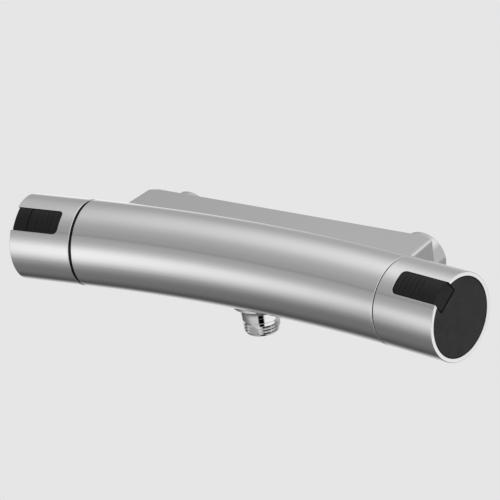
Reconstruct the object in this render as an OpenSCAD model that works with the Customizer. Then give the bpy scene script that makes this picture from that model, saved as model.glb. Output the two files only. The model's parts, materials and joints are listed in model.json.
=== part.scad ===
// Thermostatic shower valve: a bow-shaped bar for the wall, with a turning handle at each end.
// Sizes are in millimetres. X runs along the bar, Y goes into the wall and Z up.
// The origin lies halfway between the two inlets, on the wall behind the union nuts.

/* [Bar] */
// Outer radius of the bar and of both handles
bar_r = 25; // [24.8:0.1:27]
// Radius of the bow that the bar's axis follows, seen from above
bow_r = 823; // [760:1:1400]
// How far the bar reaches past each end of the rear cover, along its axis
bar_reach = 7.1; // [5.4:0.1:14]
// Wall of the bar's outer shell
shell_wall = 2.5; // [2:0.1:2.6]

/* [Wall connection] */
// Distance between the two inlets
inlet_pitch = 160; // [158:0.5:162]
// Distance from the bar's axis to the wall, at the middle of the bar
wall_dist = 58; // [57:0.5:66]
// Height of the bar's axis above the inlets
inlet_drop = 6; // [5:0.5:7]
// Outer radius of the round union nuts
nut_r = 15; // [14.8:0.1:17]
// Length of the union nuts
nut_len = 13.6; // [13.2:0.1:14]
// Gap between the wall and the union nuts
wall_gap = 2; // [1:0.5:3]
// Inner radius of the union nuts' thread
nut_thread_r = 12.1; // [12:0.05:13.2]

/* [Rear cover] */
// How far the rear cover reaches past each inlet
cover_reach = 18.6; // [17:0.1:22]
// Height of the rear cover's flat top above the bar's axis
cover_top = 14.8; // [14.2:0.2:18]
// Depth of the rear cover's flat bottom below the bar's axis
cover_bottom = 24; // [23:0.2:24.4]
// Wall of the rear cover
cover_wall = 2; // [1.5:0.1:2.4]
// Radius of the rear cover's two upright back corners
cover_corner = 7; // [4:0.5:10]
// Radius along the rear cover's other outer edges
cover_edge = 1.4; // [0.8:0.1:1.8]

/* [Handles] */
// Length from the bar's end to the handle's end face
handle_len = 41; // [40:0.5:46]
// Wall of the handle sleeves
sleeve_wall = 2.4; // [2:0.1:2.5]
// Open gap between the bar and the temperature handle
temp_gap = 1.6; // [0.4:0.1:1.8]
// Open gap between the bar and the flow handle
flow_gap = 0.5; // [0.4:0.1:1.4]
// Angle of the temperature grip above the front
temp_angle = 51; // [20:1:80]
// Angle of the flow grip above the front
flow_angle = 57; // [20:1:80]
// Width of the slot that holds the grip
slot_w = 14.7; // [13:0.1:16]
// Distance from the bar's end to the slot's closed end
slot_start = 10.2; // [9.8:0.1:12]
// Radius of the slot's two closed corners
slot_corner = 3; // [1:0.1:4]
// Number of ribs on each grip
rib_count = 5; // [3:1:5]
// Length of the push button along the handle
button_len = 10; // [9:0.5:11]
// Travel of the push button
button_travel = 0.8; // [0.5:0.1:1]

/* [Outlet] */
// Outer radius of the hose thread
hose_thread_r = 10.48; // [10:0.01:13]
// Length of the hose thread
hose_thread_len = 8; // [8:0.1:14]
// Distance of the outlet behind the bar's axis
outlet_back = 4.5; // [2:0.5:6]

/* [Hidden] */
$fn = 72;

// Facets of a full turn of the bow, and the overrun of every cut
bow_facets = 1440;
cut = 1;

// Clearances: a running shaft, a seated piece, a moving piece and a loose one
running = 0.05;
fit = 0.1;
touch = 0.2;
loose = 0.3;

// The rear cover reaches past both inlets, and the bar past both ends of the rear cover
cover_len = inlet_pitch + 2 * cover_reach;
bar_len = cover_len + 2 * bar_reach;

// The bow: half its angle, and where its left end lies seen from the bar's middle
bow_angle = arc(bar_len / 2);
end_x = bow_r * sin(bow_angle);
end_y = bow_r * (cos(bow_angle) - 1);
inlet_x = inlet_pitch / 2;
shell_in_r = bar_r - shell_wall;
end_bevel = 0.5;

// The rear cover: its depth follows from the union nuts in front of the wall
nut_gap = 0.5;
nut_end = wall_gap + nut_len;
cover_start = nut_end + nut_gap;
cover_back = wall_dist - cover_start;
cover_fit = 0.15;
cover_half = cover_len / 2;
post_r = 4;
screw_r = 2;
screw_head_r = 3.8;
screw_head_h = 1.9;
screw_half_pitch = 42;
screw_recess_r = 1.2;

// The outlet: a flared foot on the bar, then a collar and the hose thread
foot_r = 12;
foot_h = 5;
foot_rise = 1.5;
foot_flare = foot_h + foot_rise;
collar_r = 11.5;
collar_h = 3.3;
neck_gap_h = 0.6;
neck_groove = 0.8;
neck_gap_r = hose_thread_r - neck_groove;
shank_r = 9;
shank_len = 15.5;
outlet_bore_r = 6;
outlet_seal_wire = 1;
outlet_seal_z = 11;
thread_bevel = 0.8;
foot_bottom = -bar_r - foot_h;
collar_bottom = foot_bottom - collar_h;
thread_top = collar_bottom - neck_gap_h;
outlet_bottom = thread_top - hose_thread_len;
outlet_top = bar_r + foot_h - shank_len;

// The waterway inside the shell: barrels for both cartridges, joined by a core and two pipes
core_r = 11;
mixed_r = 5.5;
pipe_r = 5.6;
pipe_bore_r = 3.8;
cold_back = 15;
drain_drop = 13;
barrel_r = 19.5;
barrel_floor = 5;
headwork_barrel_r = 15.5;
headwork_barrel_len = 24;
flange_h = 6;
boss_r = 13;
boss_depth = 12;
outlet_boss_r = 12.5;

// The inlets, counted from the wall towards the bar
nut_thread_len = 5;
nut_relief_r = nut_thread_r + 0.5;
washer_room = 0.6;
washer_start = wall_gap + nut_thread_len + washer_room;
washer_h = 2;
nipple_flange_h = 2.5;
nipple_flange_r = 11.7;
nipple_r = 9.4;
nipple_bore_r = 7.6;
nipple_waist_r = 5.5;
nipple_bite = 4.6;
nut_bevel = 1;
nipple_start = washer_start + washer_h;
nut_shoulder = nipple_start + nipple_flange_h + fit;
boss_reach = 2.2;
boss_face = wall_dist + bow_dip(inlet_x) - barrel_r - boss_reach;
nipple_end = boss_face + nipple_bite;
passage_r = 4.6;
passage_len = 3.6;
filter_h = 0.8;
filter_hole_r = 0.75;
filter_pitch = 2.3;
filter_rings = 2;
check_len = 13;
check_start = nipple_start + loose;
check_bore_r = 6.2;
check_seat_r = 4.4;
check_seat_h = 3;
poppet_r = 5.4;
poppet_h = 2.4;
poppet_stem_r = 1.2;
poppet_stem_len = 6.2;
spider_h = 1.6;
spider_arm = 1.6;
spider_hub_r = 2.4;
check_spring_r = 2.4;
check_spring_wire = 0.3;
check_spring_turns = 5;

// The handles, counted from the bar's end outwards
sleeve_in_r = bar_r - sleeve_wall;
sleeve_edge = 0.7;
grip_sunk = 0.4;
grip_r = bar_r - grip_sunk;
rib_h = 0.5;
rib_r = 0.85;
rib_margin = 1.4;
rib_inset = 3.4;
rib_first = slot_start + rib_inset;
rib_end_inset = 4.6;
slot_fit = 0.15;
button_start = handle_len - button_len;
rib_pitch = (button_start - rib_end_inset - rib_first) / (rib_count - 1);
button_depth = 8.5;
button_bevel = 1.6;
button_slope = button_bevel / button_depth;
button_side = slot_w / 2 - slot_fit;
button_in_r = bar_r - button_depth;
cap_h = 2.4;
cap_r = sleeve_in_r - loose;
cap_skirt = 6;
cap_skirt_wall = 1.4;
cap_edge = 0.4;
cap_chord = button_in_r - button_travel - loose;
shelf_h = 2;
shelf_drop = 4.5;
shelf_top = cap_chord - shelf_drop;
shelf_len = 9.4;
button_spring_r = 2.1;
button_spring_wire = 0.35;
button_spring_turns = 4;
button_spring_s = button_start + button_len / 2;
hub_wall = 2.1;
hub_r = sleeve_in_r - fit;
hub_in_r = hub_r - hub_wall;
hub_start = 10;
hub_web = 4;
hub_boss_r = 7;
hub_boss_h = 8;
hub_end = handle_len - cap_h;
spindle_r = 4;
hub_boss_end = 2;
spindle_end = hub_start + hub_boss_h - hub_boss_end;
handle_screw_r = 2;
handle_screw_head_r = 3.8;
handle_screw_head_h = 2.6;
handle_screw_bite = 9;
hex_key_r = 1.5;

// Stop rings on the cartridge necks, inside the handles
stop_ring_start = 3.7;
stop_ring_h = 5;
stop_ring_play = 0.4;
stop_ring_r = sleeve_in_r - stop_ring_play;
stop_ring_rim = 2;
stop_ring_web = 2;
neck_end = stop_ring_start + stop_ring_h + touch;
neck_r = 9;

// The thermostatic cartridge, counted from the bar's end inwards
nut_hex_r = 16;
nut_hex_h = 3.5;
nut_male_r = 17.6;
nut_male_h = 7;
housing_r = 15.2;
housing_wall = 3.7;
housing_bore_r = housing_r - housing_wall;
housing_shoulder = 8;
housing_collar = 5;
port_r = 2.6;
port_count = 8;
seal_wire = 1.1;
seal_fit = 0.05;
seal_inset = 2.5;
thread_r = 6;
slide_fit = 0.2;
slider_r = housing_bore_r - slide_fit;
slider_play = 5;
slider_web = 9;
slider_lip = 1.9;
slider_wall = 1.8;
slider_cup_r = slider_r - slider_wall;
slider_start = housing_shoulder + slider_play;
slider_cup = slider_start + slider_web;
thread_play = 2;
thread_depth = slider_cup - thread_play;
cup_r = slider_cup_r - slide_fit;
cup_h = 1.5;
overload_room = 6.6;
overload_coil_gap = 1.3;
overload_coil_r = slider_cup_r - overload_coil_gap;
overload_wire = 0.7;
overload_turns = 3;
cup_depth = slider_cup + overload_room;
slider_end = cup_depth + slider_lip;
wax_piston_r = 1.5;
wax_r = (wax_piston_r + slider_cup_r) / 2;
wax_gap = 5.9;
wax_len = 16;
wax_flange_rim = 2;
wax_flange_r = wax_r + wax_flange_rim;
wax_flange_h = 1.5;
wax_start = cup_depth + wax_gap;
shuttle_start = wax_start + 2 * wax_flange_h;
shuttle_len = 7;
shuttle_wall = 1.8;
shuttle_web = 2;
shuttle_end = shuttle_start + shuttle_len;
return_room = 9.7;
seat_depth = shuttle_end + return_room;
seat_h = 2.8;
return_coil_gap = 0.9;
return_coil_r = slider_r - shuttle_wall - return_coil_gap;
seat_ledge = 2.2;
seat_hole_r = return_coil_r - seat_ledge;
housing_len = seat_depth + seat_h;
barrel_len = housing_len + barrel_floor;
hot_port_depth = wax_start;
cold_port_depth = seat_depth - 2 * port_r;
seal_depths = [nut_male_h + housing_collar, (shuttle_start + shuttle_end) / 2, housing_len - seal_inset];
return_wire = 0.7;
return_turns = 4;

// The ceramic headwork, counted from the bar's end inwards
headwork_r = 9.9;
headwork_len = 14;
headwork_hex_r = 13;
headwork_hex_h = 3.5;
disc_bore_r = 8.7;
disc_r = 8.5;
disc_h = 2;
disc_bore_top = 6.5;
foot_disc_h = 2;
disc_port_r = 2.4;
disc_port_offset = 4.6;
disc_seal_h = 2.6;
stem_seal_r = 4.95;
stem_seal_wire = 0.85;
stem_seal_depths = [1.5, 4];

// Angle in degrees of a stretch along the bar's axis, and how far the bow comes forward at a place
function arc(length) = length / bow_r * 180 / PI;
function bow_dip(x) = bow_r * (1 - cos(asin(x / bow_r)));

// Places: the bar's middle, a bar's end (Z outwards, X to the front), an inlet (Z to the bar)
module at_bar() translate([0, -wall_dist, inlet_drop]) children();
module at_left_end() translate([-end_x, end_y, 0]) rotate([90, 0, bow_angle - 90]) children();
module at_end(side) {
    at_bar() {
        if (side > 0)
            mirror([1, 0, 0]) at_left_end() children();
        else
            at_left_end() children();
    }
}
module at_inlet(side) translate([side * inlet_x, 0, 0]) rotate([90, 0, 0]) children();
module at_outlet() at_bar() translate([0, outlet_back, 0]) children();

// A cylinder, a tube or a polygonal bar between two stations on the Z axis
module rod(r, from, to) translate([0, 0, from]) cylinder(r = r, h = to - from);
module tube(r_in, r_out, from, to) {
    difference() {
        rod(r_out, from, to);
        rod(r_in, from - cut, to + cut);
    }
}
module hex_bar(r, from, to) translate([0, 0, from]) cylinder(r = r, h = to - from, $fn = 6);

// A ring of round wire
module o_ring(r, wire, z) rotate_extrude() translate([r, z]) circle(r = wire);

// A round bar that follows the bow between two angles, set off from the axis
module bow(r, from, to, back = 0, up = 0) {
    translate([0, -bow_r, 0])
        rotate([0, 0, 90 - to])
            rotate_extrude(angle = to - from, $fn = bow_facets)
                translate([bow_r + back, up]) circle(r = r, $fn = 72);
}

// Coil spring as one unbroken tube around the Z axis
coil_steps = 12;
coil_sides = 6;
function coil_point(r, wire, turns, from, to, i, k) =
    let (n = turns * coil_steps,
        lift = from + wire + (to - from - 2 * wire) * i / n,
        turn = 360 * i / coil_steps,
        reach = r + wire * cos(360 * k / coil_sides))
    [reach * cos(turn), reach * sin(turn), lift + wire * sin(360 * k / coil_sides)];
module coil(r, wire, turns, from, to) {
    n = turns * coil_steps;
    points = [for (i = [0 : n], k = [0 : coil_sides - 1])
        coil_point(r, wire, turns, from, to, i, k)];
    sides = [for (i = [0 : n - 1], k = [0 : coil_sides - 1], half = [0, 1])
        let (a = i * coil_sides + k, b = i * coil_sides + (k + 1) % coil_sides)
        half == 0 ? [a, a + coil_sides, b] : [b, a + coil_sides, b + coil_sides]];
    first = [for (k = [1 : coil_sides - 2]) [0, k, k + 1]];
    last = [for (k = [1 : coil_sides - 2])
        [n * coil_sides, n * coil_sides + k + 1, n * coil_sides + k]];
    polyhedron(points, concat(sides, first, last));
}

// Bar

module end_bevel_cut() {
    rotate_extrude()
        polygon([[bar_r - end_bevel, 0], [bar_r, -end_bevel], [bar_r + cut, -end_bevel - cut],
            [bar_r + cut, cut], [bar_r - end_bevel, cut]]);
}

module outlet_foot() {
    rotate_extrude() {
        difference() {
            translate([0, foot_bottom]) square([foot_r + foot_h, foot_flare + 2 * foot_rise]);
            translate([foot_r + foot_flare, foot_bottom]) circle(r = foot_flare);
        }
    }
}

module bar_shell() {
    color("silver")
        difference() {
            union() {
                at_bar() bow(bar_r, -bow_angle, bow_angle);
                at_outlet() outlet_foot();
            }
            at_bar() bow(shell_in_r, -bow_angle - arc(cut), bow_angle + arc(cut));
            for (side = [-1, 1]) {
                at_end(side) end_bevel_cut();
                at_inlet(side) rod(nipple_r + loose, 0, nipple_end + cut);
                at_screw(side) rod(screw_r + running, 0, wall_dist - bar_r + 2 * shell_wall);
            }
            at_outlet() rod(shank_r + fit, foot_bottom - cut, 0);
        }
}

module waterway_solids() {
    at_bar() {
        bow(core_r, arc(barrel_len) - bow_angle - arc(cut), bow_angle - arc(headwork_len));
        bow(pipe_r, arc(barrel_len) - bow_angle - arc(cut), arc(inlet_x + pipe_r), cold_back, -inlet_drop);
        bow(pipe_r, 0, bow_angle - arc(headwork_len), 0, -drain_drop);
    }
    intersection() {
        at_outlet() rod(outlet_boss_r, -shell_in_r, -mixed_r);
        at_bar() bow(shell_in_r - loose, -bow_angle, bow_angle);
    }
    at_end(-1) rod(barrel_r, -barrel_len, -flange_h + cut);
    at_end(1) rod(headwork_barrel_r, -headwork_barrel_len, -flange_h + cut);
    for (side = [-1, 1]) {
        at_end(side) rod(shell_in_r - touch, -flange_h, 0);
        intersection() {
            at_inlet(side) rod(boss_r, boss_face, boss_face + boss_depth);
            at_bar() bow(shell_in_r - loose, -bow_angle, bow_angle);
        }
    }
}

module waterway() {
    color("darkgoldenrod")
        difference() {
            waterway_solids();
            at_bar() {
                bow(mixed_r, arc(housing_len) - bow_angle, bow_angle - arc(headwork_len));
                bow(pipe_bore_r, arc(cold_port_depth) - bow_angle, arc(inlet_x), cold_back, -inlet_drop);
                bow(pipe_bore_r, 0, bow_angle - arc(headwork_len), 0, -drain_drop);
            }
            at_end(-1) rod(housing_r + touch, -housing_len - touch, cut);
            at_end(-1) rod(nut_male_r + fit, -nut_male_h - fit, cut);
            at_end(1) rod(headwork_r + fit, -headwork_len - disc_seal_h - touch, cut);
            at_outlet() rod(shank_r + fit, -bar_r, touch - outlet_top);
            at_outlet() rod(outlet_bore_r, -bar_r, -drain_drop);
            for (side = [-1, 1])
                at_inlet(side) {
                    rod(nipple_r + fit, boss_face - cut, nipple_end + fit);
                    rod(passage_r, boss_face, nipple_end + passage_len);
                }
        }
}

// Rear cover

module at_screw(side) translate([side * screw_half_pitch, 0, 0]) rotate([90, 0, 0]) children();

module cover_block(inset) {
    half = cover_half - inset;
    back = cover_back - inset;
    corner = cover_corner - inset;
    intersection() {
        translate([0, 0, inset - cover_bottom])
            linear_extrude(cover_top + cover_bottom - 2 * inset) {
                translate([-half, 0]) square([2 * half, back - corner]);
                translate([corner - half, 0]) square([2 * (half - corner), back]);
                for (side = [-1, 1])
                    translate([side * (half - corner), back - corner]) circle(r = corner);
            }
        rotate([90, 0, 90])
            translate([0, 0, -half])
                linear_extrude(2 * half) cover_profile(0, back, inset);
        translate([0, back, 0])
            rotate([90, 0, 0])
                linear_extrude(back) cover_profile(-half, half, inset);
    }
}

module cover_profile(from, to, inset) {
    low = inset - cover_bottom;
    high = cover_top - inset;
    edge = cover_edge;
    translate([from, low + edge]) square([to - from, high - low - 2 * edge]);
    translate([from + edge, low]) square([to - from - 2 * edge, high - low]);
    for (x = [from + edge, to - edge], y = [low + edge, high - edge])
        translate([x, y]) circle(r = edge);
}

module rear_cover() {
    color("silver")
        difference() {
            union() {
                difference() {
                    at_bar() cover_block(0);
                    at_bar() cover_block(cover_wall);
                }
                for (side = [-1, 1])
                    at_screw(side) rod(post_r, cover_start + fit, wall_dist - cover_wall);
            }
            at_bar() bow(bar_r + cover_fit, -bow_angle - arc(cut), bow_angle + arc(cut));
            at_outlet() rod(foot_r + foot_h + loose, foot_bottom, 0);
            for (side = [-1, 1]) {
                at_inlet(side) rod(nipple_r + loose, 0, wall_dist);
                at_screw(side) {
                    rod(screw_r + touch, 0, wall_dist);
                    rod(screw_head_r + touch, 0, cover_start + screw_head_h);
                }
            }
        }
}

module cover_screws() {
    head_start = cover_start + touch;
    for (side = [-1, 1])
        color("dimgray")
            at_screw(side)
                difference() {
                    union() {
                        rod(screw_head_r, head_start, head_start + screw_head_h - touch);
                        rod(screw_r, head_start, wall_dist - bar_r + shell_wall + bow_dip(screw_half_pitch));
                    }
                    hex_bar(screw_recess_r, head_start - cut, head_start + screw_head_h / 2);
                }
}

// Outlet

module outlet_nipple() {
    color("gainsboro")
        at_outlet()
            difference() {
                union() {
                    rotate_extrude()
                        polygon([[0, outlet_bottom], [hose_thread_r - thread_bevel, outlet_bottom],
                            [hose_thread_r, outlet_bottom + thread_bevel], [hose_thread_r, thread_top],
                            [0, thread_top]]);
                    rod(neck_gap_r, thread_top - fit, collar_bottom + fit);
                    rod(collar_r, collar_bottom, foot_bottom);
                    rod(shank_r, collar_bottom, foot_bottom + shank_len);
                }
                rod(outlet_bore_r, outlet_bottom - cut, 0);
                tube(shank_r - 2 * outlet_seal_wire, shank_r + cut,
                    foot_bottom + outlet_seal_z - outlet_seal_wire,
                    foot_bottom + outlet_seal_z + outlet_seal_wire);
            }
}

module outlet_seal() {
    color("black")
        at_outlet() o_ring(shank_r - outlet_seal_wire + seal_fit, outlet_seal_wire, foot_bottom + outlet_seal_z);
}

// Inlets

module nipple(side) {
    color("darkgoldenrod")
        at_inlet(side)
            difference() {
                union() {
                    rod(nipple_flange_r, nipple_start, nipple_start + nipple_flange_h);
                    rod(nipple_r, nipple_start, nipple_end);
                }
                rod(nipple_bore_r, nipple_start - cut, check_start + check_len + loose);
                rod(nipple_waist_r, nipple_start, nipple_end + cut);
            }
}

module union_nut(side) {
    color("silver")
        at_inlet(side)
            difference() {
                rotate_extrude()
                    polygon([[0, wall_gap], [nut_r - nut_bevel, wall_gap], [nut_r, wall_gap + nut_bevel],
                        [nut_r, nut_end - nut_bevel], [nut_r - nut_bevel, nut_end], [0, nut_end]]);
                rod(nut_thread_r, 0, wall_gap + nut_thread_len);
                rod(nut_relief_r, wall_gap + nut_thread_len, nut_shoulder);
                rod(nipple_r + fit, 0, nut_end + cut);
            }
}

module washer(side) {
    color("dimgray") at_inlet(side)
        tube(nipple_bore_r, nipple_flange_r, washer_start, washer_start + washer_h);
}

module filter(side) {
    color("lightgray")
        at_inlet(side)
            difference() {
                rod(nipple_bore_r - fit, washer_start + washer_h / 2 - filter_h / 2,
                    washer_start + washer_h / 2 + filter_h / 2);
                for (i = [-filter_rings : filter_rings], j = [-filter_rings : filter_rings])
                    if (abs(i + j) <= filter_rings)
                        translate([filter_pitch * (i + j / 2), filter_pitch * j * sqrt(3) / 2, 0])
                            hex_bar(filter_hole_r, washer_start, washer_start + washer_h);
            }
}

module check_housing(side) {
    check_end = check_start + check_len;
    color("white")
        at_inlet(side)
            difference() {
                union() {
                    tube(check_bore_r, nipple_bore_r - fit, check_start, check_end);
                    tube(check_seat_r, check_bore_r + fit, check_start, check_start + check_seat_h);
                    rod(spider_hub_r, check_end - spider_h, check_end);
                    for (turn = [0, 60, 120])
                        rotate([0, 0, turn])
                            translate([-check_bore_r - fit, -spider_arm / 2, check_end - spider_h])
                                cube([2 * (check_bore_r + fit), spider_arm, spider_h]);
                }
                rod(poppet_stem_r + running, check_start - cut, check_end + cut);
            }
}

poppet_start = check_start + check_seat_h;
module poppet(side) {
    color("white")
        at_inlet(side) {
            rod(poppet_r, poppet_start, poppet_start + poppet_h);
            rod(poppet_stem_r, poppet_start, poppet_start + poppet_h + poppet_stem_len);
        }
}

module check_spring(side) {
    color("silver")
        at_inlet(side)
            coil(check_spring_r, check_spring_wire, check_spring_turns,
                poppet_start + poppet_h + running, check_start + check_len - spider_h - running);
}

// Handles

// A plate seen from outside the handle: flat sides, with two round corners at its closed end
module slot_block(w, from, corner, r_from, r_to, to = handle_len + cut) {
    translate([r_from, 0, 0])
        rotate([90, 0, 90])
            linear_extrude(r_to - r_from) {
                translate([-w / 2, from + corner]) square([w, to - from - corner]);
                translate([corner - w / 2, from]) square([w - 2 * corner, to - from]);
                for (sign = [-1, 1])
                    translate([sign * (w / 2 - corner), from + corner]) circle(r = corner);
            }
}

module sleeve(side, angle, gap) {
    color("silver")
        at_end(side)
            difference() {
                rotate_extrude()
                    difference() {
                        union() {
                            translate([sleeve_in_r, gap]) square([sleeve_wall - end_bevel, handle_len - gap]);
                            translate([sleeve_in_r, gap + end_bevel])
                                square([sleeve_wall, handle_len - gap - end_bevel - sleeve_edge]);
                            translate([bar_r - sleeve_edge, handle_len - sleeve_edge])
                                circle(r = sleeve_edge);
                            polygon([[bar_r - end_bevel, gap], [bar_r, gap + end_bevel],
                                [bar_r - end_bevel, gap + end_bevel]]);
                        }
                        translate([bar_r - sleeve_edge, handle_len - sleeve_edge])
                            difference() {
                                square(sleeve_edge + cut);
                                circle(r = sleeve_edge);
                            }
                    }
                rotate([0, 0, angle]) slot_block(slot_w, slot_start, slot_corner, bar_r / 2, bar_r + cut);
            }
}

module grip(side, angle) {
    width = slot_w - 2 * slot_fit;
    corner = slot_corner - slot_fit;
    inner = width - 2 * rib_margin;
    color("black")
        at_end(side)
            rotate([0, 0, angle]) {
                intersection() {
                    tube(sleeve_in_r, grip_r, slot_start, button_start - slot_fit);
                    slot_block(width, slot_start + slot_fit, corner, bar_r / 2, bar_r + cut);
                }
                intersection() {
                    rotate_extrude()
                        for (i = [0 : rib_count - 1])
                            translate([grip_r + rib_h - rib_r, rib_first + i * rib_pitch])
                                circle(r = rib_r, $fn = 24);
                    translate([bar_r / 2, -inner / 2, 0]) cube([bar_r, inner, handle_len]);
                }
            }
}

module button(side, angle) {
    color("black")
        at_end(side)
            rotate([0, 0, angle])
                intersection() {
                    rod(bar_r, 0, handle_len);
                    rotate([90, 0, 0])
                        translate([0, 0, -button_side])
                            linear_extrude(2 * button_side)
                                polygon([[button_in_r, button_start], [bar_r + cut, button_start],
                                    [bar_r + cut, handle_len - button_bevel - button_slope * cut],
                                    [button_in_r, handle_len]]);
                }
}

module button_spring(side, angle) {
    color("silver")
        at_end(side)
            rotate([0, 0, angle])
                translate([0, 0, button_spring_s])
                    rotate([0, 90, 0])
                        coil(button_spring_r, button_spring_wire, button_spring_turns,
                            shelf_top + running, button_in_r - running);
}

module end_cap(side, angle) {
    color("dimgray")
        at_end(side)
            difference() {
                union() {
                    rotate_extrude()
                        polygon([[0, hub_end], [cap_r, hub_end], [cap_r, handle_len - cap_edge],
                            [cap_r - cap_edge, handle_len], [0, handle_len]]);
                    tube(hub_in_r - fit - cap_skirt_wall, hub_in_r - fit, handle_len - cap_skirt, hub_end + fit);
                    rotate([0, 0, angle])
                        translate([shelf_top - shelf_h, -slot_w / 2, handle_len - shelf_len])
                            cube([shelf_h, slot_w, shelf_len - cap_h + fit]);
                }
                rotate([0, 0, angle])
                    translate([cap_chord, -slot_w / 2 - slot_fit, handle_len - shelf_len - cut])
                        cube([bar_r, slot_w + 2 * slot_fit, shelf_len + 2 * cut]);
            }
}

module hub(side, angle) {
    color("dimgray")
        at_end(side)
            difference() {
                union() {
                    tube(hub_in_r, hub_r, hub_start, hub_end);
                    rod(hub_in_r + fit, hub_start, hub_start + hub_web);
                    rod(hub_boss_r, hub_start, hub_start + hub_boss_h);
                }
                rod(spindle_r + running, hub_start - cut, spindle_end);
                rod(handle_screw_r + fit, hub_start, hub_start + hub_boss_h + cut);
                rotate([0, 0, angle])
                    translate([button_in_r - button_travel - loose, -slot_w / 2 - slot_fit, button_start - loose])
                        cube([bar_r, slot_w + 2 * slot_fit, handle_len]);
            }
}

module handle_screw(side) {
    head = hub_start + hub_boss_h;
    color("silver")
        at_end(side)
            difference() {
                union() {
                    rod(handle_screw_r, spindle_end - handle_screw_bite, head + fit);
                    rod(handle_screw_head_r, head, head + handle_screw_head_h);
                }
                hex_bar(hex_key_r, head + handle_screw_head_h / 3, head + handle_screw_head_h + cut);
            }
}

module stop_ring(side) {
    color("black")
        at_end(side) {
            tube(stop_ring_r - stop_ring_rim, stop_ring_r, touch, stop_ring_start + stop_ring_h);
            tube(neck_r + fit, stop_ring_r - stop_ring_rim + fit, stop_ring_start + stop_ring_h - stop_ring_web,
                stop_ring_start + stop_ring_h);
        }
}

// Thermostatic cartridge, in the left end

module temp_spindle() {
    color("darkgoldenrod")
        at_end(-1)
            difference() {
                union() {
                    rod(spindle_r, -housing_shoulder - touch, spindle_end);
                    rod(thread_r, -thread_depth, -housing_shoulder - touch);
                }
                rod(handle_screw_r + fit, spindle_end - handle_screw_bite - fit, spindle_end + cut);
            }
}

module thermostat_nut() {
    color("darkgoldenrod")
        at_end(-1)
            difference() {
                union() {
                    hex_bar(nut_hex_r, 0, nut_hex_h);
                    rod(nut_male_r, -nut_male_h, 0);
                }
                rod(neck_r + fit, -nut_male_h - cut, nut_hex_h + cut);
            }
}

module thermostat_housing() {
    color("white")
        at_end(-1)
            difference() {
                union() {
                    rod(housing_r, -housing_len, -nut_male_h - fit);
                    rod(neck_r, -nut_male_h - fit, neck_end);
                }
                rod(housing_bore_r, -housing_len - cut, -housing_shoulder);
                rod(spindle_r + running, -housing_shoulder - cut, neck_end + cut);
                for (depth = seal_depths)
                    tube(housing_r - 2 * seal_wire, housing_r + cut, -depth - seal_wire, -depth + seal_wire);
                for (depth = [hot_port_depth, cold_port_depth], i = [0 : port_count - 1])
                    translate([0, 0, -depth])
                        rotate([0, 90, 360 * (i + 1 / 2) / port_count]) rod(port_r, 0, housing_r + cut);
            }
}

module thermostat_seals() {
    color("black")
        at_end(-1)
            for (depth = seal_depths)
                o_ring(housing_r - seal_wire + seal_fit, seal_wire, -depth);
}

module regulating_nut() {
    color("darkgoldenrod")
        at_end(-1)
            difference() {
                rod(slider_r, -slider_end, -slider_start);
                rod(thread_r + running, -slider_cup - cut, -slider_start + cut);
                rod(slider_cup_r, -slider_end - cut, -slider_cup);
            }
}

module overload_spring() {
    color("silver")
        at_end(-1)
            coil(overload_coil_r, overload_wire, overload_turns, -cup_depth + running, -slider_cup - running);
}

module overload_cup() {
    color("darkgoldenrod")
        at_end(-1) {
            rod(cup_r, -cup_depth - cup_h, -cup_depth);
            rod(wax_piston_r, -cup_depth - 2 * cup_h, -cup_depth);
        }
}

module wax_element() {
    color("peru")
        at_end(-1) {
            rod(wax_r, -wax_start - wax_len, -wax_start);
            rod(wax_piston_r, -wax_start - fit, -cup_depth - 2 * cup_h);
            rod(wax_flange_r, -wax_start - 2 * wax_flange_h, -wax_start - wax_flange_h);
        }
}

module shuttle() {
    color("white")
        at_end(-1) {
            tube(slider_r - shuttle_wall, slider_r, -shuttle_start - shuttle_len, -shuttle_start);
            tube(wax_r + running, slider_r - shuttle_wall + fit, -shuttle_start - shuttle_web, -shuttle_start);
        }
}

module return_spring() {
    color("silver")
        at_end(-1)
            coil(return_coil_r, return_wire, return_turns, -seat_depth + running,
                -shuttle_start - shuttle_web - running);
}

module spring_seat() {
    color("white") at_end(-1) tube(seat_hole_r, slider_r, -housing_len, -seat_depth);
}

// Ceramic headwork, in the right end

module headwork_housing() {
    color("darkgoldenrod")
        at_end(1)
            difference() {
                union() {
                    hex_bar(headwork_hex_r, 0, headwork_hex_h);
                    rod(headwork_r, -headwork_len, 0);
                    rod(neck_r, 0, neck_end);
                }
                rod(disc_bore_r, -headwork_len - cut, -disc_bore_top);
                rod(spindle_r + running, -disc_bore_top - cut, neck_end + cut);
                for (depth = stem_seal_depths)
                    rod(stem_seal_r + stem_seal_wire, -depth - stem_seal_wire, -depth + stem_seal_wire);
            }
}

module headwork_seals() {
    color("black")
        at_end(1)
            for (depth = stem_seal_depths)
                o_ring(stem_seal_r - seal_fit, stem_seal_wire, -depth);
}

module flow_spindle() {
    color("darkgoldenrod")
        at_end(1)
            difference() {
                union() {
                    rod(spindle_r, -disc_bore_top - touch, spindle_end);
                    rod(disc_r, -disc_bore_top - touch - foot_disc_h, -disc_bore_top - touch);
                }
                rod(handle_screw_r + fit, spindle_end - handle_screw_bite - fit, spindle_end + cut);
            }
}

disc_top = disc_bore_top + touch + foot_disc_h;
module ceramic_disc(top) {
    color("whitesmoke")
        at_end(1)
            difference() {
                rod(disc_r, -top - disc_h, -top);
                for (sign = [-1, 1])
                    translate([sign * disc_port_offset, 0, 0])
                        rod(disc_port_r, -top - disc_h - cut, -top + cut);
            }
}

module disc_seal() {
    top = disc_top + 2 * disc_h + running;
    color("black") at_end(1) tube(disc_bore_r / 2, disc_r, -headwork_len - disc_seal_h, -top);
}

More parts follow.
